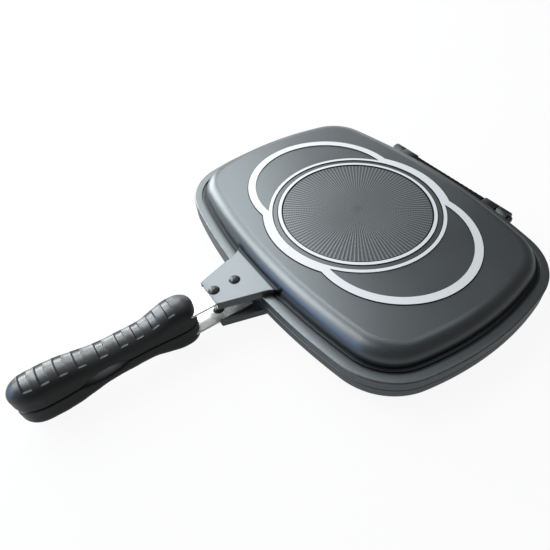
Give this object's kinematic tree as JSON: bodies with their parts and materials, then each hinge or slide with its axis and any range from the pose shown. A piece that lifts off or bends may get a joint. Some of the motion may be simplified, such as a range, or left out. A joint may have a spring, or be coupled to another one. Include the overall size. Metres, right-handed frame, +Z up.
{
  "type": "double sided flip pan",
  "caption": "Rounded rectangular double sided flip pan: two hinged cast halves with polished rings outside, ribs inside, and a grip on each half.",
  "frame": {"origin": "centre of the face the closed pan rests on, below the middle of the rings", "axes": "+Z up, +Y from the grips to the hinge, +X along the hinge axis"},
  "size_m": [0.36, 0.4758, 0.0552],
  "materials": {
    "coated_aluminium": "cast, satin anthracite non-stick coating, raised rings machined bright",
    "polished_steel": "polished strip",
    "dark_rivet": "satin dark coating",
    "grip": "satin black moulding",
    "screw_steel": "zinc plated",
    "brass": "turned",
    "magnet": "nickel plated",
    "hinge_steel": "blackened",
    "clip_steel": "spring steel",
    "seal": "dark silicone"
  },
  "bodies": {
    "lower_half": {"lower_pan": "coated_aluminium", "rim_seal": "seal", "lower_strap": "polished_steel", "lower_front_rivet": "dark_rivet", "lower_rear_rivet": "dark_rivet", "lower_handle": "grip", "lower_handle_screws": "screw_steel", "lower_handle_inserts": "brass", "lower_magnet": "magnet", "left_hinge_pin": "hinge_steel", "right_hinge_pin": "hinge_steel", "left_pin_clip": "clip_steel", "right_pin_clip": "clip_steel"},
    "upper_half": {"upper_pan": "coated_aluminium", "upper_strap": "polished_steel", "upper_front_rivet": "dark_rivet", "upper_rear_rivet": "dark_rivet", "upper_handle": "grip", "upper_handle_screws": "screw_steel", "upper_handle_inserts": "brass", "upper_magnet": "magnet"}
  },
  "joints": [
    {"name": "rear_hinge", "type": "hinge", "parent": "lower_half", "child": "upper_half", "pos_m": [0, 0.1365, 0.0276], "axis": [-1, 0, 0], "range_deg": [0, 180]}
  ]
}
